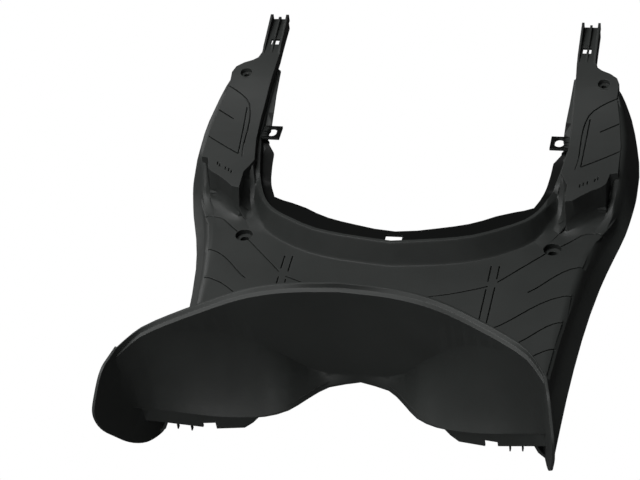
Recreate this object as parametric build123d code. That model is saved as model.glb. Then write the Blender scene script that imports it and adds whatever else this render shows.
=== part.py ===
from build123d import *
import math
import os

"""Scooter floorboard: one black injection-moulded panel.

A flat tread runs between a tall front toe wall and a U-shaped rear cut-out.
Two raised footrest arms reach back beside the cut-out and end in slotted tips.
The panel is mirror-symmetric about X = 0, with +Y to the rear and +Z up.
All sizes are in millimetres. While it is drawn, Z = 0 is the tread surface and
Y = 0 is the line through the two lower bolt holes.
"""


# Moulding
THICK = 3.0
WALL = 2.5
SEAM = 0.15
EDGE_RADIUS = 8.0

# Tread edge and skirt foot along the panel: y, edge x, top z, foot x, foot z
SIDE_STATIONS = [
    (-262.0, 173.0, 0.0, 186.5, -27.0),
    (-180.0, 175.0, 0.0, 189.0, -27.0),
    (-100.0, 181.5, 0.0, 194.0, -27.0),
    (-25.0, 191.0, 0.0, 203.0, -27.0),
    (18.0, 200.2, 1.0, 212.5, -24.0),
    (46.0, 208.5, 7.0, 221.0, -17.0),
    (64.0, 214.0, 16.0, 225.0, -10.5),
    (78.0, 217.5, 33.0, 227.5, -5.0),
    (88.0, 218.5, 38.5, 228.5, -2.0),
    (112.0, 218.5, 43.0, 229.0, 5.0),
    (146.0, 214.0, 50.5, 224.0, 15.0),
    (175.0, 207.5, 58.3, 216.0, 28.0),
    (192.0, 201.5, 62.8, 208.0, 38.0),
]
SCOOP_WIDTH = 18.0
SCOOP_FORM = [(0.35, 0.2), (0.7, 0.55), (0.92, 0.93)]

# Rear edge of the tread plate, under the bank and the arms
TREAD_REAR = [
    (0, -33.5), (50, -27.5), (78, -20.5), (98, -13.5), (116, -3.5), (133.5, 16), (143.5, 27), (151, 36),
    (167.2, 38), (170, 39), (179, 45), (188, 52.5), (196, 58), (200.5, 62.5), (203, 76), (208, 78),
    (207.5, 112), (203, 146), (196.5, 175), (190.5, 193), (190.5, 300),
]

# Bank and inner rim from the centre line to the arm tip: ridge x, y, z, direction of the cut-out in
# degrees, foot reach, foot z, rise of the arm's side beyond the foot strip, step down, flange reach
RIM_STATIONS = [
    (0.0, -24.0, 20.0, 90.0, 12.5, 0.0, 0.0, 7.0, 25.0),
    (48.0, -17.0, 20.0, 102.0, 14.0, 0.0, 0.0, 7.0, 24.0),
    (79.0, -9.6, 20.0, 110.0, 13.5, 0.0, 0.0, 7.0, 24.0),
    (109.0, 5.5, 20.0, 123.0, 13.0, 0.0, 0.0, 7.0, 24.0),
    (128.0, 18.0, 20.0, 137.0, 10.5, 0.5, 0.0, 7.0, 20.0),
    (140.0, 33.0, 20.5, 152.0, 8.0, 6.0, 0.0, 7.0, 10.0),
    (147.5, 50.0, 22.0, 163.0, 7.0, 17.0, 14.0, 8.0, 7.5),
    (151.5, 62.0, 24.2, 166.0, 3.5, 26.0, 8.0, 8.5, 7.0),
    (154.0, 73.0, 26.3, 167.0, 3.0, 36.0, 0.3, 9.0, 7.0),
    (159.0, 104.0, 32.0, 172.0, 3.0, 40.8, 0.3, 9.0, 9.0),
    (161.5, 125.0, 36.5, 177.0, 2.6, 45.0, 0.3, 6.0, 10.0),
    (161.5, 150.0, 42.0, 179.0, 2.6, 50.8, 0.3, 1.5, 9.5),
    (160.5, 175.0, 48.5, 180.0, 2.6, 57.5, 0.3, 1.5, 7.0),
    (159.0, 206.0, 55.5, 180.0, 2.6, 65.0, 0.3, 1.5, 4.5),
]
STRIP_WIDTH = 4.5
STRIP_SLOPE_WIDTH = 8.5

# Raised arms: height of the top along the panel, plan outline, depth of the walls
ARM_PROFILE = [(20.0, 31.5), (60.0, 35.8), (111.0, 43.3), (146.0, 50.8), (189.0, 62.3), (237.0, 69.8), (290.0, 75.0)]
ARM_OUTLINE = [
    (164, 35.5), (171.5, 36.8), (179, 43), (188.5, 50.5), (197, 55.7), (202, 61), (204.5, 74.5), (212, 76),
    (211.5, 112), (207, 146), (202, 172), (202.6, 189.5), (199.5, 197.5), (192, 203.5), (183.5, 207.5),
    (178.5, 211.5), (176, 219), (175.5, 268), (173.5, 272), (158.5, 272), (156.5, 268), (156.5, 216),
    (159, 175), (160.5, 130), (160, 104), (157.5, 84), (156, 74.5), (158.5, 68), (164, 57.5),
]
ARM_WALL_DEPTH = [(20.0, -2.5), (70.0, -2.5), (92.0, 26.0), (146.0, 38.0), (189.0, 50.0), (237.0, 60.0), (290.0, 66.0)]

# Rise of the tread towards the arm: x, y on the foot of the riser, reach in front of it, height
APRON_STATIONS = [
    (150.0, 31.0, 10.0, 1.5), (157.0, 33.5, 24.0, 6.0), (164.0, 35.4, 34.0, 11.0),
    (171.5, 36.8, 37.0, 13.5), (179.0, 43.0, 32.0, 13.0), (188.5, 50.5, 26.0, 12.0), (197.0, 55.7, 19.0, 9.5),
    (203.0, 62.0, 13.0, 8.5),
]

# Toe wall from the centre line outwards: x, crest y, crest z, crease z, floor y, rim y, rim z, bulge
WALL_STATIONS = [
    (0.0, -236.6, 147.0, 8.0, -197.0, -197.0, -4.0, 0.0),
    (28.0, -237.5, 146.0, 9.0, -206.0, -206.0, -4.0, 0.0),
    (45.0, -238.5, 145.0, 17.0, -223.0, -223.0, -4.0, 1.0),
    (60.0, -240.5, 144.0, 36.0, -240.0, -240.0, -4.0, 3.0),
    (80.0, -244.0, 141.5, 59.0, -250.0, -250.0, -4.0, 5.0),
    (100.0, -249.0, 137.5, 79.0, -253.0, -257.0, -1.0, 6.0),
    (125.0, -259.0, 132.5, 98.0, -253.0, -263.0, 4.0, 7.0),
    (150.0, -272.0, 129.0, 107.0, -253.0, -267.0, 10.0, 7.0),
    (172.0, -287.0, 126.0, 106.0, -253.0, -274.0, 19.0, 6.0),
    (184.0, -300.5, 121.5, 106.0, -253.0, -285.0, 31.0, 3.0),
    (190.0, -309.0, 119.0, 106.5, -253.0, -306.0, 51.0, 1.5),
    (197.0, -320.0, 118.0, 106.0, -253.0, -315.0, 58.0, 1.0),
]
WALL_LEAN = 0.264
LEDGE_DROP = 8.0
TONGUE_SET = 4.5

# Ear plates that close the ends of the toe wall: flared plane and outline in y, z
EAR_X = 195.5
EAR_Y = -319.7
EAR_FLARE = 0.24
EAR_OUTLINE = [
    (-320.6, 118), (-330, 114), (-337.5, 107), (-344.5, 98.5), (-350, 89.5), (-349, 73), (-341, 55),
    (-328, 36), (-312, 14), (-298, -1), (-285, -12), (-271, -20), (-257, -25),
]
EAR_BACK = [(-247, -22), (-245, -8), (-284, 40), (-295, 98), (-299, 119)]

# Bracket wall under the pods: x, front y, top z, depth
BRACKET_STATIONS = [
    (84.0, -250.0, -2.5, 3.0),
    (92.0, -252.7, -1.4, 12.0),
    (100.0, -255.5, 0.0, 18.0),
    (125.0, -261.5, 5.0, 20.5),
    (150.0, -265.5, 11.0, 20.5),
    (172.0, -272.5, 20.0, 20.5),
    (184.0, -283.5, 32.0, 20.5),
    (191.0, -292.0, 40.0, 20.5),
]

# Grooves in the tread, each a curve in plan, and their section
TREAD_GROOVES = [
    [(203, 25.5), (190, 24), (177, 17), (163, 5)],
    [(150, -6), (131, -27), (108.3, -52.5)],
    [(100, -59), (73.6, -70), (37, -80), (0, -83)],
    [(193, -23.5), (181, -25.5), (163, -39), (139.2, -65)],
    [(186, -65.5), (173, -68), (150, -83), (108.3, -121)],
    [(183.5, -103.5), (172, -106), (156, -119), (136.3, -138.4)],
    [(181.5, -140), (170, -143), (154, -155), (140, -168)],
    [(177, -177.5), (166, -181), (150, -194)],
    [(99, -28.5), (99, -52)],
    [(98.8, -63), (98.4, -114.5)],
    [(107, -28.5), (107, -48)],
    [(106.8, -60), (105.9, -119)],
]
ARM_GROOVES = [
    [(169.5, 78), (171.5, 110), (174, 143), (177.5, 152), (184, 159), (195, 167), (206.5, 173.5)],
    [(174.7, 82), (176, 110), (177.7, 145)],
    [(174.7, 82), (196, 95), (217, 109)],
    [(189, 129), (212.8, 144)],
    [(193, 65.5), (193.4, 70)],
    [(190.3, 63), (190.7, 67.5)],
    [(183.4, 59), (183.8, 63.5)],
    [(179.5, 57), (179.9, 61.5)],
    [(176.4, 54.5), (176.8, 59)],
]
GROOVE_WIDTH = 1.3
GROOVE_DEPTH = 1.1

# Bolt holes
TREAD_BOLT = (155.0, 0.0)
TREAD_BOLT_HEAD = 17.5
TREAD_BOLT_BORE = 9.0
TREAD_BOLT_DEPTH = 6.0
TREAD_BOSS_LENGTH = 18.0
ARM_BOLT = (187.0, 189.5)
ARM_BOLT_HEAD = 12.0
ARM_BOLT_BORE = 5.5
ARM_BOLT_DEPTH = 4.0
ARM_BOSS_LENGTH = 16.0

# Side tabs, tip slots and clip slot
TAB_CENTRE = (148.4, 124.3)
TAB_WIDTH = 20.0
TAB_DROP = 10.5
TAB_REACH = 9.0
TAB_SLOT = (9.5, 14.0)
TIP_SLOT = (9.0, 9.0)
TIP_SLOT_CENTRE = (165.0, 236.0)
CLIP_SLOT = (17.0, 9.0)
CLIP_SLOT_Y = -9.0


def smooth(keys, values, at):
    """Value at one place on a smooth curve through the values that never overshoots."""
    rates = [(v - u) / (b - a) for a, b, u, v in zip(keys, keys[1:], values, values[1:])]
    inner = [2 * p * q / (p + q) if p * q > 0 else 0.0 for p, q in zip(rates, rates[1:])]
    grades = [rates[0], *inner, rates[-1]]
    i = max(k for k in range(len(keys) - 1) if k == 0 or keys[k] <= at)
    h = keys[i + 1] - keys[i]
    t = (at - keys[i]) / h
    u, v = values[i], values[i + 1]
    blend = t * t * (3 - 2 * t)
    return u + (v - u) * blend + h * t * (1 - t) * (grades[i] * (1 - t) - grades[i + 1] * t)


def refined(table, parts):
    """Rows of a table with smoothly interpolated rows between them."""
    keys = [row[0] for row in table]
    columns = list(zip(*table))[1:]
    places = [a + (b - a) * k / parts for a, b in zip(keys, keys[1:]) for k in range(parts)] + [keys[-1]]
    return [(at, *(smooth(keys, column, at) for column in columns)) for at in places]


def arm_z(y):
    return smooth([p[0] for p in ARM_PROFILE], [p[1] for p in ARM_PROFILE], y)


def wall_foot_z(y):
    return smooth([p[0] for p in ARM_WALL_DEPTH], [p[1] for p in ARM_WALL_DEPTH], y)


def mirrored(solid):
    """Both hands of a right-hand solid."""
    return solid + mirror(solid, about=Plane.YZ)


def section(plane, points):
    return plane * make_face(Polyline(*points, close=True))


def skin(sections):
    return loft(sections, ruled=True)


def prism(points, bottom, top):
    """Vertical prism on a plan outline."""
    return Pos(0, 0, bottom) * extrude(make_face(Polyline(*points, close=True)), amount=top - bottom)


def inset(points, distance):
    """Corners of an anticlockwise outline moved inwards by one wall."""
    moved = []
    for before, at, after in zip(points[-1:] + points[:-1], points, points[1:] + points[:1]):
        way_in = (Vector(*at) - Vector(*before)).normalized()
        way_out = (Vector(*after) - Vector(*at)).normalized()
        side = Vector(-way_in.Y - way_out.Y, way_in.X + way_out.X)
        shift = side * (distance * 2 / side.length ** 2)
        moved.append((at[0] + shift.X, at[1] + shift.Y))
    return moved


def side_profile(edge_x, top_z, foot_x, foot_z):
    """Half section of the tread edge: upper line outwards, then lower line inwards."""
    start = edge_x - EDGE_RADIUS - SCOOP_WIDTH
    scoop = [(start + SCOOP_WIDTH * s, top_z * h) for s, h in SCOOP_FORM]
    upper = [(start, 0), *scoop]
    for angle in (90, 62, 30):
        c, s = math.cos(math.radians(angle)), math.sin(math.radians(angle))
        upper.append((edge_x - EDGE_RADIUS * (1 - c), top_z - EDGE_RADIUS * (1 - s)))
    upper += [(edge_x + 1.0, top_z - 11), (edge_x + 3.2, top_z - 15.5), (foot_x, foot_z)]
    lower = [
        (foot_x - 2.6, foot_z - 1.0),
        (edge_x + 0.2, top_z - 16.5),
        (edge_x - 2.6, top_z - 9.5),
        (edge_x - EDGE_RADIUS + 3.5, top_z - THICK - 1.5),
        (edge_x - EDGE_RADIUS, top_z - THICK),
        (scoop[1][0], scoop[1][1] - 1.3 * THICK),
        (scoop[0][0], scoop[0][1] - 1.1 * THICK),
        (start, -THICK),
    ]
    return upper, lower


def make_deck():
    """Tread plate with its rounded edges and flared skirts, cut to its plan outline."""
    sections = []
    for y, edge_x, top_z, foot_x, foot_z in refined(SIDE_STATIONS, 2):
        if y > 60:
            top_z = min(top_z, arm_z(y) - SEAM)
        upper, lower = side_profile(edge_x, top_z, foot_x, foot_z)
        loop = upper + lower + [(-x, z) for x, z in reversed(lower)] + [(-x, z) for x, z in reversed(upper)]
        plane = Plane(origin=(0, y, 0), x_dir=(1, 0, 0), z_dir=(0, -1, 0))
        sections.append(section(plane, loop))
    deck = skin(sections)
    rear = TREAD_REAR + [(-x, y) for x, y in reversed(TREAD_REAR[1:])]
    deck -= prism(rear, -60, 120)
    rim = [(x, row[3] + WALL / 2) for x, *row in refined(WALL_STATIONS[:-3], 2)]
    rim += [(rim[-1][0], -300)]
    front = rim + [(-x, y) for x, y in reversed(rim[1:])]
    return deck - prism(front, -2.3 * THICK, 10)


def rim_section(x, y, z, angle, reach, foot_z, side, step, flange):
    """Section across the bank, its ridge and the lower rear flange."""
    dx, dy = math.cos(math.radians(angle)), math.sin(math.radians(angle))
    plane = Plane(origin=(x, y, 0), x_dir=(-dx, -dy, 0), z_dir=(-dy, dx, 0))
    rise = z - foot_z
    up = max(0.0, min(1.0, rise / 12))
    down = max(0.0, min(1.0, -rise / 6))
    strip = reach + STRIP_WIDTH
    buried = foot_z + side - 0.5
    points = [
        (strip + STRIP_SLOPE_WIDTH, buried),
        (strip, foot_z - 0.45 * min(1.0, rise / 20 if rise > 0 else 0.0)),
        (reach + 0.6, foot_z + 0.02 * rise),
        (reach - 1.2 * up, foot_z + 0.12 * rise),
        (2.2, z - 0.08 * rise),
        (0.8, z),
        (-2.6, z),
        (-3.8, z - step),
        (-flange, z - step),
        (-flange, z - step - WALL),
        (-0.8, z - step - WALL),
        (0.2 + 3.0 * down, z - THICK),
        (reach - 3.2 * up + 2.2 * down, foot_z - THICK + 0.4),
        (strip, foot_z - THICK + 0.4),
        (strip + STRIP_SLOPE_WIDTH, buried - THICK),
    ]
    return section(plane, points)


def make_rim():
    """Bank, ridge and flange all round the rear cut-out, from tip to tip."""
    travel = [0.0]
    for a, b in zip(RIM_STATIONS, RIM_STATIONS[1:]):
        travel.append(travel[-1] + math.dist(a[:2], b[:2]))
    half = [row[1:] for row in refined([(s, *row) for s, row in zip(travel, RIM_STATIONS)], 2)]
    sections = [rim_section(*row) for row in reversed(half)]
    sections += [rim_section(-row[0], row[1], row[2], 180 - row[3], *row[4:]) for row in half[1:]]
    return skin(sections)


def groove(points, bottom, top):
    """Upright blade that follows a curve in plan."""
    path = Spline(*points) if len(points) > 2 else Line(*points)
    steps = 2 * len(points) if len(points) > 2 else 1
    left, right = [], []
    for k in range(steps + 1):
        at, way = path @ (k / steps), path % (k / steps)
        side = Vector(-way.Y, way.X) * (GROOVE_WIDTH / 2)
        left.append((at.X + side.X, at.Y + side.Y))
        right.append((at.X - side.X, at.Y - side.Y))
    return prism(left + right[::-1], bottom, top)


def arm_slab(top_drop, bottom):
    """Slab across an arm between the top, lowered by a drop, and a lower line."""
    ys = [20 + 15 * k for k in range(19)]
    loop = [(y, arm_z(y) - top_drop) for y in ys] + [(y, bottom(y)) for y in reversed(ys)]
    plane = Plane(origin=(130, 0, 0), x_dir=(0, 1, 0), z_dir=(1, 0, 0))
    return extrude(section(plane, loop), amount=110)


def make_arm():
    """Right arm: a raised platform with walls round its edge, open underneath."""
    body = prism(ARM_OUTLINE, -40, 120)
    hollow = prism(inset(ARM_OUTLINE, WALL), -40, 120)
    body = body & arm_slab(0, wall_foot_z)
    body -= hollow & arm_slab(THICK, lambda y: -40.0)
    cut = arm_slab(-2.0, lambda y: arm_z(y) - GROOVE_DEPTH)
    return body - [groove(points, 20, 90) & cut for points in ARM_GROOVES]


def make_apron():
    """Rise of the tread in front of the arm, with the concave foot of the riser."""
    sections = []
    for i, (x, y, reach, rise) in enumerate(APRON_STATIONS):
        ahead = APRON_STATIONS[min(i + 1, len(APRON_STATIONS) - 1)]
        behind = APRON_STATIONS[max(i - 1, 0)]
        dx, dy = ahead[0] - behind[0], ahead[1] - behind[1]
        length = math.hypot(dx, dy)
        plane = Plane(origin=(x, y, 0), x_dir=(dy / length, -dx / length, 0), z_dir=(-dx / length, -dy / length, 0))
        slope = [(0.75, 0.08), (0.5, 0.34), (0.25, 0.68), (0.12, 0.88)]
        foot = min(1.0, rise / 12)
        points = [(-1.2, -2), (reach, -0.45)] + [(reach * u, rise * h) for u, h in slope]
        points += [(2.6, rise + 1.8 * foot), (0.9, rise + 5.0 * foot), (0.2, rise + 9.0 * foot), (-1.2, rise + 11 * foot)]
        sections.append(section(plane, points))
    return skin(sections)


def make_tip():
    """Channel walls and middle rib on the end of the right arm."""
    left, right, start, end = 156.5, 175.5, 214.0, 272.0
    solids = []
    for x0, x1, height in [(left, left + 2.2, 8.0), (right - 2.2, right, 8.0), (165, 167, 5.0)]:
        ys = [start, start + 12, end - 3, end]
        tops = [arm_z(start) - 1, arm_z(start + 12) + 0.35 * height, arm_z(end) + height, arm_z(end) + height - 2]
        loop = list(zip(ys, tops)) + [(end, arm_z(end) - 2), (start, arm_z(start) - 2)]
        plane = Plane(origin=(x0, 0, 0), x_dir=(0, 1, 0), z_dir=(1, 0, 0))
        solids.append(extrude(section(plane, loop), amount=x1 - x0))
    return solids


def wall_section(x, crest_y, crest_z, crease_z, floor_y, rim_y, rim_z, bulge):
    """Section through the toe wall at one place across the panel."""
    plane = Plane(origin=(x, 0, 0), x_dir=(0, 1, 0), z_dir=(1, 0, 0))
    crease_y = crest_y + WALL_LEAN * (crest_z - crease_z)
    ledge_y = crest_y + WALL_LEAN * LEDGE_DROP
    ledge_z = crest_z - LEDGE_DROP
    pod = [
        (rim_y + (crease_y - rim_y) * t - bulge * b, rim_z + (crease_z - rim_z) * t)
        for t, b in [(0, 0), (0.15, 0.7), (0.4, 1.0), (0.7, 0.75), (1, 0)]
    ]
    front = [(floor_y + 0.8, -2 * THICK), *pod] + [
        (ledge_y, ledge_z),
        (ledge_y + TONGUE_SET, ledge_z + 1.0),
        (crest_y + TONGUE_SET, crest_z),
    ]
    rear = [
        (crest_y + TONGUE_SET + 2.2, crest_z),
        (ledge_y + TONGUE_SET + 2.8, ledge_z - 3.0),
    ] + [(y + THICK * 1.1, z + 0.5) for y, z in reversed(pod)]
    rear.append((floor_y + THICK * 1.3, -2 * THICK))
    return section(plane, front + rear)


def make_wall():
    """Toe wall: two pods below a leaning upper panel with a recessed tongue along its crest."""
    half = refined(WALL_STATIONS, 2)
    rows = [(-row[0], *row[1:]) for row in reversed(half[1:])] + half
    wall = skin([wall_section(*row) for row in rows])
    ear = ear_plane()
    for plane in (ear, Plane(origin=(-EAR_X, EAR_Y, 0), x_dir=(EAR_FLARE, 1, 0), z_dir=(-1, EAR_FLARE, 0))):
        wall = split(wall, bisect_by=plane, keep=Keep.BOTTOM)
    return wall


def ear_plane():
    return Plane(origin=(EAR_X, EAR_Y, 0), x_dir=(-EAR_FLARE, 1, 0), z_dir=(1, EAR_FLARE, 0))


def make_ear():
    """Right ear plate, standing forward of the end of the toe wall."""
    stretch = math.hypot(1, EAR_FLARE)
    front = [((y - EAR_Y) * stretch, z) for y, z in EAR_OUTLINE]
    back = [((y - EAR_Y) * stretch, z) for y, z in EAR_BACK]
    edges = Spline(*front) + Polyline(front[-1], *back, front[0])
    return extrude(ear_plane() * make_face(edges), amount=-WALL)


def make_bracket():
    """Right lower bracket: a wall hanging from the rim of the pod, with a notch and two ribs."""
    sections = []
    for x, y, top, depth in BRACKET_STATIONS:
        plane = Plane(origin=(x, 0, 0), x_dir=(0, 1, 0), z_dir=(1, 0, 0))
        foot = top - depth
        sections.append(section(plane, [(y, top), (y + WALL, foot), (y + 2 * WALL, foot), (y + WALL, top + 0.4)]))
    body = split(skin(sections), bisect_by=ear_plane(), keep=Keep.BOTTOM)
    body -= Pos(131, -259, -15) * Box(12, 16, 16)
    for x, y, z in [(148, -260.5, -9.5), (160, -263.5, -5.5)]:
        body += Pos(x, y, z) * Box(1.2, 4, 14)
    return body


def cylinder(centre, diameter, bottom, top):
    x, y = centre
    return Pos(x, y, (bottom + top) / 2) * Cylinder(diameter / 2, top - bottom)


def make_panel():
    panel = make_deck() + make_rim()
    panel += mirrored(make_arm())
    panel += make_wall()
    bosses = [make_apron(), make_ear(), make_bracket(), *make_tip()]
    arm_top = arm_z(ARM_BOLT[1])
    tab_z = arm_z(TAB_CENTRE[1]) - TAB_DROP
    bosses.append(cylinder(TREAD_BOLT, TREAD_BOLT_HEAD + 2 * WALL, -TREAD_BOLT_DEPTH - THICK, -0.5))
    bosses.append(cylinder(TREAD_BOLT, TREAD_BOLT_BORE + 2 * WALL, -TREAD_BOSS_LENGTH, -TREAD_BOLT_DEPTH - 1))
    bosses.append(cylinder(ARM_BOLT, ARM_BOLT_HEAD + 2 * WALL, arm_top - ARM_BOSS_LENGTH, arm_top - 1.5))
    tab_length = TAB_REACH + 14
    tab_x = TAB_CENTRE[0] - TAB_REACH + tab_length / 2
    bosses.append(Pos(tab_x, TAB_CENTRE[1], tab_z - WALL / 2) * Box(tab_length, TAB_WIDTH, WALL))
    for solid in bosses:
        panel += mirrored(solid)
    holes = [
        cylinder(TREAD_BOLT, TREAD_BOLT_HEAD, -TREAD_BOLT_DEPTH, 5),
        cylinder(TREAD_BOLT, TREAD_BOLT_BORE, -30, 5),
        cylinder(ARM_BOLT, ARM_BOLT_BORE, 20, 90),
        cylinder(ARM_BOLT, ARM_BOLT_HEAD, arm_top - ARM_BOLT_DEPTH, arm_top + 5),
        Pos(*TAB_CENTRE, tab_z - 10) * extrude(Rot(0, 0, 90) * SlotOverall(TAB_SLOT[1], TAB_SLOT[0]), amount=18),
    ]
    for hole in holes:
        panel -= hole
        panel -= mirror(hole, about=Plane.YZ)
    panel -= Pos(0, CLIP_SLOT_Y, 12) * Box(*CLIP_SLOT, 20)
    blades = [groove(points, -GROOVE_DEPTH, 8) for points in TREAD_GROOVES]
    panel -= blades + [mirror(blade, about=Plane.YZ) for blade in blades]
    tip_rib = Pos(TIP_SLOT_CENTRE[0] + 1, TIP_SLOT_CENTRE[1], arm_z(TIP_SLOT_CENTRE[1]) - 1) * Box(1.6, 14, 5)
    slot = Pos(*TIP_SLOT_CENTRE, arm_z(TIP_SLOT_CENTRE[1])) * Box(*TIP_SLOT, 20)
    panel -= mirrored(slot - tip_rib)
    return panel


if __name__ == "__main__":
    os.makedirs("parts", exist_ok=True)
    panel = make_panel()
    box = panel.bounding_box()
    shift = Pos(0, -(box.min.Y + box.max.Y) / 2, -box.min.Z)
    print("moved to the bottom centre by", shift.position)
    export_step(Compound((shift * panel).solids()), "parts/scooter_floorboard.step")
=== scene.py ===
# %% [markdown]
# # A moulded scooter floorboard
# The real object is one black plastic panel from an injection mould, the floor
# that a rider's feet stand on. The solid model holds its shape. This scene takes
# a copy of that solid, presses a few softer forms into the copy, and gives it a
# moulded plastic finish, a white floor, studio light and a camera.

import bpy
import numpy
from mathutils import Matrix, Vector


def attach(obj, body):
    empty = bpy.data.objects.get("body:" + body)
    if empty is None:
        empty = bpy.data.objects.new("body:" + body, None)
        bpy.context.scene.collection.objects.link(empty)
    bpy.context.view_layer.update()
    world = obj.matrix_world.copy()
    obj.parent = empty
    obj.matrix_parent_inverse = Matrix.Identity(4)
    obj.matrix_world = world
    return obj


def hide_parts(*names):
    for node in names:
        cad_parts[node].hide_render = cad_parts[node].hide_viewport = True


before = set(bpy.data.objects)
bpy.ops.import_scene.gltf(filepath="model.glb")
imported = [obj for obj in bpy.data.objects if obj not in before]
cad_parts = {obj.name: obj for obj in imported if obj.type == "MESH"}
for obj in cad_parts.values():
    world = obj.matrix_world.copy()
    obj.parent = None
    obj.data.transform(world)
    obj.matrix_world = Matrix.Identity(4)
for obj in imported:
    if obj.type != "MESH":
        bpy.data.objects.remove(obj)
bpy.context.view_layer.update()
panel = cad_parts["scooter_floorboard"]
bpy.ops.object.select_all(action="DESELECT")
print("panel faces:", len(panel.data.polygons))

# %% [markdown]
# ## A skin that can be shaped
# The solid is kept exact, so it is never touched. A copy of it becomes the
# visible skin, and its loose triangles are merged into one closed surface.
# Building the panel anew would lose its holes and grooves, so the copy is the
# start and only the forms below are changed on it.

# %% Copy the solid and merge its corners
MERGE_REACH = 0.00002

skin = bpy.data.objects.new("floorboard_skin", panel.data.copy())
bpy.context.collection.objects.link(skin)
bpy.context.view_layer.objects.active = skin
skin.select_set(True)
bpy.ops.object.mode_set(mode="EDIT")
bpy.ops.mesh.select_all(action="SELECT")
bpy.ops.mesh.remove_doubles(threshold=MERGE_REACH)
bpy.ops.mesh.select_all(action="DESELECT")
bpy.ops.object.mode_set(mode="OBJECT")
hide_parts("scooter_floorboard")
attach(skin, "root")
print("skin corners:", len(skin.data.vertices))

# %% [markdown]
# ## Press a form into the skin
# Each form below is a small function, a move, that takes a point and gives back
# where it goes, the way a modeller pushes clay. The panel is the same on its
# left and right, so a move is written once for the right side and used on both.
# Moves work in millimetres from the point midway between the two tread bolts.

# %% Move the corners of a piece
MM_PER_METRE = 1000
OFFSET_Y = 0.0397196
OFFSET_Z = 0.028


def press(piece, move):
    """Move every corner of a piece, the same way on both sides of its middle."""
    moved = 0
    for corner in piece.data.vertices:
        hand = -1 if corner.co.x < 0 else 1
        start = (
            corner.co.x * hand * MM_PER_METRE,
            (corner.co.y - OFFSET_Y) * MM_PER_METRE,
            (corner.co.z - OFFSET_Z) * MM_PER_METRE,
        )
        x, y, z = move(*start)
        moved += (x, y, z) != start
        corner.co = (x * hand / MM_PER_METRE, y / MM_PER_METRE + OFFSET_Y, z / MM_PER_METRE + OFFSET_Z)
    print("corners moved by", move.__name__ + ":", moved)


print("middle of the tread bolts in metres:", (0, OFFSET_Y, OFFSET_Z))

# %% [markdown]
# ## Hollow the two pods
# Seen from the front, each pod of the toe wall is a shallow dish: dark under its
# upper crease and lighter towards its lower rim. Each corner between the rim
# and the crease moves back by a share of the dish depth, on both faces of the
# wall, so the wall keeps its thickness. The ear plate at the side stays.

# %% Press a dish into each pod
WALL_REAR = -190
POD_X = (45, 60, 80, 100, 125, 150, 172, 184, 190)
POD_RIM = (-4, -4, -4, -1, 4, 10, 19, 31, 51)
POD_CREASE = (17, 36, 59, 79, 98, 107, 106, 106, 106.5)
DISH_DEPTH = (0, 3, 8, 10, 11, 11, 9, 3, 0)
DISH_SHARE = ((0, 0.15, 0.4, 0.7, 1), (0, 0.7, 1, 0.75, 0))
EAR_X = 192.5
EAR_FLARE = 0.24
EAR_FRONT = -319.7


def dish(x, y, z):
    """Move back inside a pod."""
    if x < POD_X[0] or y > WALL_REAR or x > EAR_X - EAR_FLARE * (y - EAR_FRONT):
        return x, y, z
    rim = numpy.interp(x, POD_X, POD_RIM)
    crease = numpy.interp(x, POD_X, POD_CREASE)
    share = numpy.interp((z - rim) / (crease - rim), *DISH_SHARE)
    return x, y + share * numpy.interp(x, POD_X, DISH_DEPTH), z


press(skin, dish)

# %% [markdown]
# ## Lean the tongue on the crest
# A thin tongue runs along the crest of the toe wall and catches the light. It
# leans back, most of all towards its two ends, and the lean fades out at the ear
# plates. Only the tongue's own corners move, so its edges stay crisp.

# %% Lean the tongue
CREST_X = (0, 28, 45, 60, 80, 100, 125, 150, 172, 184, 190)
CREST_Z = (147, 146, 145, 144, 141.5, 137.5, 132.5, 129, 126, 121.5, 119)
TONGUE_DEPTH = 2.5
TONGUE_END = 188
END_FADE = 20
MIDDLE_SHARE = 0.35
MIDDLE_FADE = 130
LEAN_BACK = 5.0
LEAN_DOWN = 4.2


def lean(x, y, z):
    """Lean the tongue on the crest of the toe wall."""
    if y > WALL_REAR or x > TONGUE_END or z < numpy.interp(x, CREST_X, CREST_Z) - TONGUE_DEPTH:
        return x, y, z
    fade = min(1.0, (TONGUE_END - x) / END_FADE, MIDDLE_SHARE + x / MIDDLE_FADE)
    return x, y + LEAN_BACK * fade, z - LEAN_DOWN * fade


press(skin, lean)

# %% [markdown]
# ## Slope the risers
# The step up to each footrest is not upright: it slopes, and a concave foot
# blends it into the tread. Corners low on the riser move forward, square to its
# top line, and those of the foot follow, less and less with their distance. New
# faces would have to be joined to the old ones, and moved corners stay joined.

# %% Slope the riser in front of each footrest
RISER_LINE = ((157, 164, 171.5, 179, 188.5, 197, 203), (33.5, 35.4, 36.8, 43, 50.5, 55.7, 62))
RISER_X = (150, 206)
RISER_Y = (-20, 66)
RISER_BOTTOM = -2
RISER_TOP = 34.0
RISER_SLOPE = 0.4
RISER_BACK = -1.6
RISER_ENDS = (158, 203)
RISER_FADE = 6
FOOT_LEVEL = 12.0
FOOT_REACH = 16.0
HALF_STEP = 3


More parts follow.
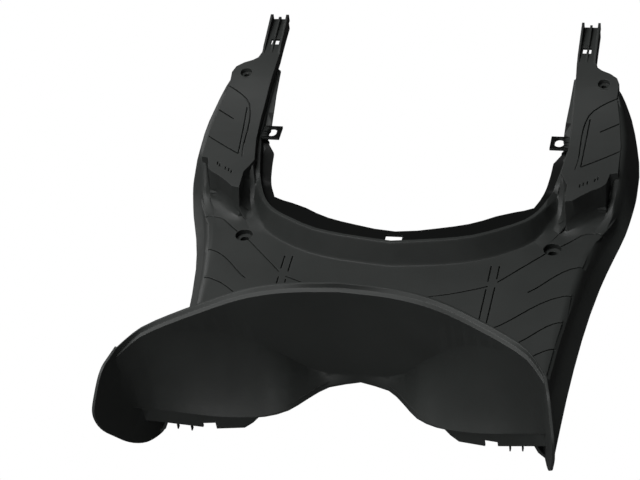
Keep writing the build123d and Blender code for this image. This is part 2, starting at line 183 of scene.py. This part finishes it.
def slope_riser(x, y, z):
    """Move the foot of the riser forward."""
    if not (RISER_X[0] < x < RISER_X[1] and RISER_Y[0] < y < RISER_Y[1] and RISER_BOTTOM < z < RISER_TOP):
        return x, y, z
    rise = numpy.interp(x + HALF_STEP, *RISER_LINE) - numpy.interp(x - HALF_STEP, *RISER_LINE)
    ahead = numpy.array((rise, -2.0 * HALF_STEP))
    ahead /= numpy.hypot(*ahead)
    distance = (y - numpy.interp(x, *RISER_LINE)) * ahead[1]
    if distance < RISER_BACK or distance > FOOT_REACH:
        return x, y, z
    fade = min(1.0, max(0.0, (x - RISER_ENDS[0]) / RISER_FADE), max(0.0, (RISER_ENDS[1] - x) / RISER_FADE))
    near = 1 - max(0.0, distance) / FOOT_REACH
    step = RISER_SLOPE * (RISER_TOP - max(z, FOOT_LEVEL)) * near * fade
    return x + ahead[0] * step, y + ahead[1] * step, z


press(skin, slope_riser)

# %% [markdown]
# ## Calm the apron
# The tread rises only gently towards the riser. So the apron before it sinks in
# proportion to its height, most of all beside the bank, and at its outer side
# it also moves back under the footrest.

# %% Sink the apron in front of each riser
APRON_TOP = 18.0
APRON_X = (146, 154, 165, 190, 200, 209)
APRON_Y = (-12, 66)
APRON_DROP = (0, 0.55, 0.55, 0.32, 0.32, 0)
APRON_BACK = (0, 0, 0, 1.17, 1.17, 0)


def sink_apron(x, y, z):
    """Lower the apron and, at its outer side, move it back."""
    if not (APRON_X[0] < x < APRON_X[-1] and APRON_Y[0] < y < APRON_Y[1] and 0 < z < RISER_TOP):
        return x, y, z
    share = numpy.interp(x, APRON_X, APRON_DROP)
    if z < APRON_TOP:
        curve = 1 + share / max(APRON_DROP)
        drop = z - (1 - share) * APRON_TOP * (z / APRON_TOP) ** curve
    else:
        drop = share * APRON_TOP * ((RISER_TOP - z) / (RISER_TOP - APRON_TOP))
    return x, y + drop * numpy.interp(x, APRON_X, APRON_BACK), z - drop


press(skin, sink_apron)

# %% [markdown]
# ## Widen the flange along the arms
# The flange round the cut-out climbs along the inner side of each arm, up to the
# tab. Its rim moves inwards there, and nothing else of the arm does.

# %% Widen the rim along the arms
ARM_RIM = (
    (37.7, 44.4, 52.2, 57.8, 63.7, 69.1, 74.6, 89.9, 105.3),
    (131.2, 136.3, 140.3, 142.7, 144.7, 146.0, 147.2, 149.0, 150.1),
)
RIM_INWARD = ((37, 44, 52, 113), (3, 5, 6, 6))
RIM_BAND = 0.6


def widen_arm_flange(x, y, z):
    """Move the rim of the flange along the arm inwards."""
    if not ARM_RIM[0][0] <= y <= ARM_RIM[0][-1] or abs(x - numpy.interp(y, *ARM_RIM)) > RIM_BAND:
        return x, y, z
    return x - numpy.interp(y, *RIM_INWARD), y, z


press(skin, widen_arm_flange)

# %% [markdown]
# ## Widen the flange towards the arms
# Near the arms the flange grows wider at the back too. Its rear edge moves back
# there, and the points between the ridge and that edge follow by share, so the
# flange stays flat.

# %% Widen the rear of the flange
FLANGE_LEVELS = (9.5, 14.2)
RIDGE_FOOT = (
    (0, 30, 62.7, 77.7, 92.6, 106.9, 116.5, 125.2, 131.4, 136.6),
    (-14, -13.5, -10.2, -6, 0.6, 8.7, 14.3, 20.6, 27.2, 34.8),
)
FLANGE_EDGE = (
    (0, 40, 70.8, 83.8, 95.9, 104.5, 113.4, 122.4, 131.2, 136.6),
    (0, 4, 13, 18.8, 25.6, 28.9, 31.6, 33.7, 37.7, 44.4),
)
FLANGE_BACK = (
    (20, 40, 70, 84, 96, 104.5, 113, 122.4, 131.2, 136.5),
    (0, 2.5, 4.5, 5, 5.5, 6, 7, 8, 8, 4),
)
EDGE_BAND = 2


def widen_flange(x, y, z):
    """Move the rear edge of the flange back."""
    if not (FLANGE_BACK[0][0] < x < FLANGE_BACK[0][-1] and FLANGE_LEVELS[0] < z < FLANGE_LEVELS[1]):
        return x, y, z
    foot = numpy.interp(x, *RIDGE_FOOT)
    edge = numpy.interp(x, *FLANGE_EDGE)
    if y > edge + EDGE_BAND:
        return x, y, z
    share = min(1.0, max(0.0, (y - foot) / (edge - foot)))
    return x, y + share * numpy.interp(x, *FLANGE_BACK), z


press(skin, widen_flange)

# %% [markdown]
# ## Deepen the grooves
# The lines in the tread and on the footrests are narrow and read as dark
# strokes, so their floors go down a little further. A corner lies on the floor
# of a groove if it is one groove depth below the surface round it.

# %% Lower the floors of the grooves
GROOVE_DEPTH = 1.1
DEEPER = 1.2
TREAD_FRONT = -200
TREAD_BAND = 0.05
FOOTREST_X = 160
FOOTREST_Y = 45
FOOTREST_BAND = 0.12
ARM_Y = tuple(range(20, 305, 15))
ARM_Z = (
    31.5, 33.05, 34.63, 36.43, 38.44, 40.66, 43.13, 46.02, 49.38, 53.15,
    57.5, 61.45, 64.36, 66.82, 68.92, 70.71, 72.22, 73.6, 75.0,
)


def lower_grooves(x, y, z):
    """Lower a corner on the floor of a groove."""
    on_tread = y > TREAD_FRONT and abs(z + GROOVE_DEPTH) < TREAD_BAND
    above_arm = z - numpy.interp(y, ARM_Y, ARM_Z)
    on_arm = y > FOOTREST_Y and x > FOOTREST_X and abs(above_arm + GROOVE_DEPTH) < FOOTREST_BAND
    return (x, y, z - DEEPER) if on_tread or on_arm else (x, y, z)


press(skin, lower_grooves)

# %% [markdown]
# ## Smooth mould surfaces
# A mould is cut as flowing surfaces, while the mesh of the skin is made of flat
# triangles. A subdivision would round the holes and grooves away, so two
# modifiers smooth only its look: faces that meet at a small angle share one
# normal, and large flat faces win over thin ones.

# %% Smooth the small angles
SMOOTH_ANGLE = 0.56

smoothing = bpy.data.node_groups.new("smooth_small_angles", "GeometryNodeTree")
smoothing.interface.new_socket("Geometry", in_out="INPUT", socket_type="NodeSocketGeometry")
smoothing.interface.new_socket("Geometry", in_out="OUTPUT", socket_type="NodeSocketGeometry")
inlet = smoothing.nodes.new("NodeGroupInput")
outlet = smoothing.nodes.new("NodeGroupOutput")
smooth_faces = smoothing.nodes.new("GeometryNodeSetShadeSmooth")
smooth_edges = smoothing.nodes.new("GeometryNodeSetShadeSmooth")
smooth_edges.domain = "EDGE"
edge_angle = smoothing.nodes.new("GeometryNodeInputMeshEdgeAngle")
small = smoothing.nodes.new("FunctionNodeCompare")
small.data_type = "FLOAT"
small.operation = "LESS_EQUAL"
small.inputs["B"].default_value = SMOOTH_ANGLE
smoothing.links.new(inlet.outputs[0], smooth_faces.inputs["Geometry"])
smoothing.links.new(smooth_faces.outputs[0], smooth_edges.inputs["Geometry"])
smoothing.links.new(edge_angle.outputs["Unsigned Angle"], small.inputs["A"])
smoothing.links.new(small.outputs["Result"], smooth_edges.inputs["Shade Smooth"])
smoothing.links.new(smooth_edges.outputs[0], outlet.inputs[0])

smooth = skin.modifiers.new("smooth_small_angles", "NODES")
smooth.node_group = smoothing

weights = skin.modifiers.new("weigh_large_faces", "WEIGHTED_NORMAL")
weights.keep_sharp = True
weights.mode = "FACE_AREA"
print("modifiers:", [modifier.name for modifier in skin.modifiers])

# %% [markdown]
# ## Black moulded plastic
# Unpainted polypropylene is a very dark grey with a dull sheen. A real moulding
# is never quite even, and a single flat value would look drawn, so one large,
# soft noise gives both the colour and the gloss a faint cloudy change.

# %% Make the colour and the gloss
PLASTIC_DARK = (0.0235, 0.0260, 0.0245, 1)
PLASTIC_LIGHT = (0.0300, 0.0330, 0.0312, 1)
RAMP_ENDS = (0.3, 0.7)
ROUGHNESS_RANGE = (0.50, 0.60)
CLOUD_SCALE = 14
CLOUD_DETAIL = 4


def new_material(name):
    """Make a material and give it with its node tree and its shader."""
    material = bpy.data.materials.new(name)
    material.use_nodes = True
    return material, material.node_tree, material.node_tree.nodes["Principled BSDF"]


plastic, tree, shader = new_material("black_moulded_plastic")
place = tree.nodes.new("ShaderNodeTexCoord")

clouds = tree.nodes.new("ShaderNodeTexNoise")
clouds.inputs["Scale"].default_value = CLOUD_SCALE
clouds.inputs["Detail"].default_value = CLOUD_DETAIL
tree.links.new(place.outputs["Object"], clouds.inputs["Vector"])

colour = tree.nodes.new("ShaderNodeValToRGB")
colour.color_ramp.elements[0].position = RAMP_ENDS[0]
colour.color_ramp.elements[0].color = PLASTIC_DARK
colour.color_ramp.elements[1].position = RAMP_ENDS[1]
colour.color_ramp.elements[1].color = PLASTIC_LIGHT
tree.links.new(clouds.outputs["Fac"], colour.inputs["Fac"])
tree.links.new(colour.outputs["Color"], shader.inputs["Base Color"])

gloss = tree.nodes.new("ShaderNodeMapRange")
gloss.inputs["To Min"].default_value = ROUGHNESS_RANGE[0]
gloss.inputs["To Max"].default_value = ROUGHNESS_RANGE[1]
tree.links.new(clouds.outputs["Fac"], gloss.inputs["Value"])
tree.links.new(gloss.outputs["Result"], shader.inputs["Roughness"])
print("plastic colours:", PLASTIC_DARK, PLASTIC_LIGHT)

# %% [markdown]
# ## Grain and rounded edges
# The plastic copies a fine grain that is etched into the mould. The grain is too
# small to model, so it comes from a fine noise that tilts the normal. A bevel in
# the normal rounds the mould's sharp edges a little, which is what makes each
# edge catch the light.

# %% Add the grain and the rounded edges
GRAIN_SCALE = 700
GRAIN_DETAIL = 2
GRAIN_STRENGTH = 0.25
GRAIN_HEIGHT = 0.0003
EDGE_ROUND = 0.0009
EDGE_SAMPLES = 4

grain = tree.nodes.new("ShaderNodeTexNoise")
grain.inputs["Scale"].default_value = GRAIN_SCALE
grain.inputs["Detail"].default_value = GRAIN_DETAIL
tree.links.new(place.outputs["Object"], grain.inputs["Vector"])

rounded = tree.nodes.new("ShaderNodeBevel")
rounded.samples = EDGE_SAMPLES
rounded.inputs["Radius"].default_value = EDGE_ROUND

grain_bump = tree.nodes.new("ShaderNodeBump")
grain_bump.inputs["Strength"].default_value = GRAIN_STRENGTH
grain_bump.inputs["Distance"].default_value = GRAIN_HEIGHT
tree.links.new(grain.outputs["Fac"], grain_bump.inputs["Height"])
tree.links.new(rounded.outputs["Normal"], grain_bump.inputs["Normal"])
tree.links.new(grain_bump.outputs["Normal"], shader.inputs["Normal"])

skin.data.materials.clear()
skin.data.materials.append(plastic)
print("plastic nodes:", len(tree.nodes))

# %% [markdown]
# ## Polished flange, painted shade
# The flange round the cut-out has no grain: that part of the mould is polished,
# so it is smoother and glossier than the rest. Its colour is also made far
# darker than the plastic's: painted shade for the shadow that the bank's ridge
# throws on it. Its faces look up and lie below a line that climbs with the arms,
# so they are picked by their place and get their own slot.

# %% Polish the flange and paint shade into its colour
# Painted shade: the near-black flange colour stands for the ridge's shadow and is not a colour of the
# plastic.
FLANGE_PAINTED_SHADE = (0.0045, 0.0050, 0.0047, 1)
FLANGE_ROUGHNESS = 0.42
FLANGE_SHEEN = 0.25
FLANGE_REACH = ((0.048, 0.060, 0.075, 0.113), (0.144, 0.148, 0.153, 0.155))
FLANGE_FRONT = -0.045
FLANGE_BOTTOM = 0.0095
FLANGE_CEILING = ((0.048, 0.060, 0.113), (0.0155, 0.021, 0.040))
FACES_UP = 0.7

polished_with_painted_shade, tree, shader = new_material("polished_plastic_painted_shade")
shader.inputs["Base Color"].default_value = FLANGE_PAINTED_SHADE
shader.inputs["Roughness"].default_value = FLANGE_ROUGHNESS
shader.inputs["Specular IOR Level"].default_value = FLANGE_SHEEN
skin.data.materials.append(polished_with_painted_shade)
for face in skin.data.polygons:
    height = face.center.z - OFFSET_Z
    back = face.center.y - OFFSET_Y
    within = back > FLANGE_FRONT and abs(face.center.x) < numpy.interp(back, *FLANGE_REACH)
    if within and FLANGE_BOTTOM < height < numpy.interp(back, *FLANGE_CEILING) and face.normal.z > FACES_UP:
        face.material_index = 1
print("polished faces:", sum(face.material_index for face in skin.data.polygons))

# %% [markdown]
# ## Floor
# The panel stands on a plain studio floor. The camera sees the floor pure white,
# as in a cut-out product picture, and yet it throws little light on the panel. A
# shader that glows only for the camera does both. More lamps would whiten it
# too, but they would also wash out the black plastic.

# %% Lay the white floor
FLOOR_SIZE = 12
FLOOR_LEVEL = -0.0004
FLOOR_WHITE = 0.06
FLOOR_ROUGHNESS = 0.9

bpy.ops.mesh.primitive_plane_add(size=FLOOR_SIZE, location=(0, 0, FLOOR_LEVEL))
floor = bpy.context.object
floor.name = "studio_floor"
bpy.ops.object.transform_apply(location=True)
white, tree, shader = new_material("white_floor")
shader.inputs["Base Color"].default_value = (FLOOR_WHITE, FLOOR_WHITE, FLOOR_WHITE, 1)
shader.inputs["Roughness"].default_value = FLOOR_ROUGHNESS
glow = tree.nodes.new("ShaderNodeEmission")
glow.inputs["Strength"].default_value = 1.0
seen = tree.nodes.new("ShaderNodeLightPath")
mixed = tree.nodes.new("ShaderNodeMixShader")
tree.links.new(seen.outputs["Is Camera Ray"], mixed.inputs["Fac"])
tree.links.new(shader.outputs["BSDF"], mixed.inputs[1])
tree.links.new(glow.outputs["Emission"], mixed.inputs[2])
tree.links.new(mixed.outputs["Shader"], tree.nodes["Material Output"].inputs["Surface"])
floor.data.materials.append(white)
print("floor side in metres:", FLOOR_SIZE)

# %% [markdown]
# ## Light
# One large soft lamp hangs above the left side of the panel, so the flat tread
# is brighter than the upright toe wall. A low panel at the left rear lights the
# lip and the left skirt, and a weak lamp in front fills in the toe wall.

# %% Hang the lamps
LAMPS = [
    ("overhead_softbox", (-0.75, -0.45, 2.35), 1.4, 51),
    ("left_rear_panel", (-2.4, 1.5, 0.8), 1.2, 16),
    ("front_fill", (-0.1, -2.6, 0.3), 1.4, 27),
]
TARGET = Vector((0, 0, 0.05))
SKY_STRENGTH = 0.015

for name, spot, size, power in LAMPS:
    bpy.ops.object.light_add(type="AREA", location=spot)
    lamp = bpy.context.object
    lamp.name = name
    lamp.data.size = size
    lamp.data.energy = power
    lamp.rotation_euler = (TARGET - Vector(spot)).to_track_quat("-Z", "Y").to_euler()

world = bpy.data.worlds.new("studio")
bpy.context.scene.world = world
world.use_nodes = True
background = world.node_tree.nodes["Background"]
background.inputs["Color"].default_value = (1, 1, 1, 1)
background.inputs["Strength"].default_value = SKY_STRENGTH
print("lamps:", [name for name, *_ in LAMPS])

# %% [markdown]
# ## Camera
# The camera stands where the photograph was taken: in front and above, a little
# to the right, with a long lens. Its place and turn were fitted to the matching
# left and right points of the panel.

# %% Stand the camera
CAMERA_SPOT = (0.43163, -1.73075, 1.53632)
CAMERA_RIGHT = (0.975811, 0.193142, -0.102417)
CAMERA_UP = (-0.046329, 0.640536, 0.766530)
CAMERA_BACK = (0.213651, -0.743243, 0.633990)
CAMERA_LENS = 134.58
SENSOR_WIDTH = 36
CAMERA_SIGHT = 50

bpy.ops.object.camera_add()
camera = bpy.context.object
camera.name = "photo_camera"
turn = Matrix((CAMERA_RIGHT, CAMERA_UP, CAMERA_BACK)).transposed().to_4x4()
camera.matrix_world = Matrix.Translation(CAMERA_SPOT) @ turn
camera.data.sensor_width = SENSOR_WIDTH
camera.data.lens = CAMERA_LENS
camera.data.clip_end = CAMERA_SIGHT
bpy.context.scene.camera = camera
bpy.context.scene.view_settings.view_transform = "Standard"
print("camera distance in metres:", round(Vector(CAMERA_SPOT).length, 2))
